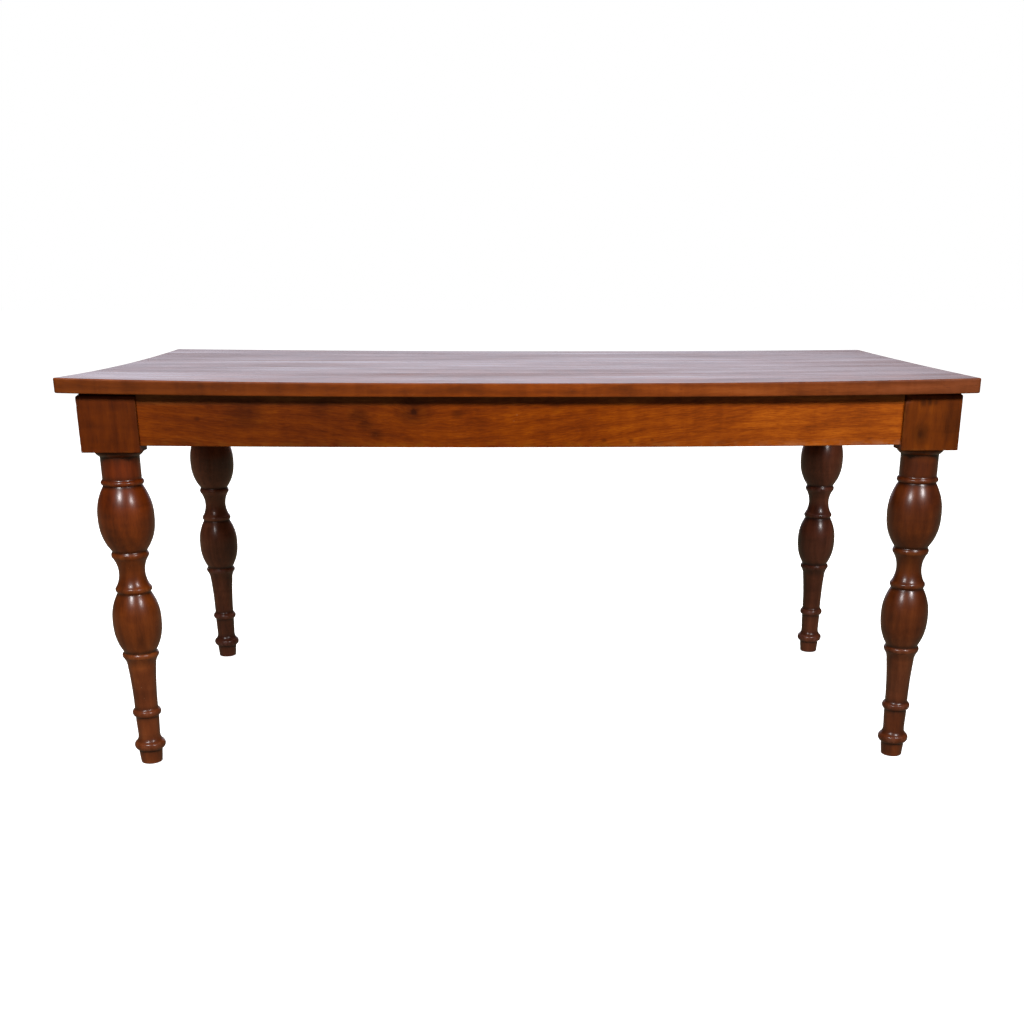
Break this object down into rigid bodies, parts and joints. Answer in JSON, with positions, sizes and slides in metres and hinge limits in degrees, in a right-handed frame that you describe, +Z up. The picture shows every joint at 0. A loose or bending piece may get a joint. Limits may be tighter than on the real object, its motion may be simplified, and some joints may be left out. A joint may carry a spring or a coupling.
{
  "type": "farmhouse dining table",
  "caption": "Rectangular farmhouse table: a planked wooden top on tenoned aprons and turned legs with square blocks.",
  "frame": {"origin": "on the floor, under the middle of the table's top", "axes": "+Z up; +X along the length, to the right seen from the front; the front is the -Y side"},
  "size_m": [1.7, 0.914, 0.762],
  "materials": {
    "top_wood": "reddish-brown stained hardwood boards under semi-gloss lacquer",
    "apron_wood": "orange-brown stained hardwood with wavy grain, semi-gloss lacquer",
    "leg_wood": "dark red-brown stained turned hardwood, semi-gloss lacquer",
    "inner_wood": "plain planed hardwood, unfinished, out of sight",
    "screw_steel": "zinc-plated wood screws",
    "bolt_steel": "zinc-plated coach screws and washers"
  },
  "bodies": {
    "root": {"leg_front_left": "leg_wood", "leg_front_right": "leg_wood", "leg_back_right": "leg_wood", "leg_back_left": "leg_wood", "apron_front": "apron_wood", "apron_back": "apron_wood", "apron_left": "apron_wood", "apron_right": "apron_wood", "top_board_1": "top_wood", "top_board_2": "top_wood", "top_board_3": "top_wood", "top_board_4": "top_wood", "top_board_5": "top_wood", "loose_tongue_1": "inner_wood", "loose_tongue_2": "inner_wood", "loose_tongue_3": "inner_wood", "loose_tongue_4": "inner_wood", "cross_rail_1": "inner_wood", "cross_rail_2": "inner_wood", "cross_rail_3": "inner_wood", "corner_brace_front_left": "inner_wood", "corner_brace_front_right": "inner_wood", "corner_brace_back_right": "inner_wood", "corner_brace_back_left": "inner_wood", "buttons_front": "inner_wood", "buttons_back": "inner_wood", "buttons_left": "inner_wood", "buttons_right": "inner_wood", "rail_screws": "screw_steel", "button_screws": "screw_steel", "brace_screws": "screw_steel", "coach_screws": "bolt_steel", "washers": "bolt_steel"}
  },
  "joints": []
}
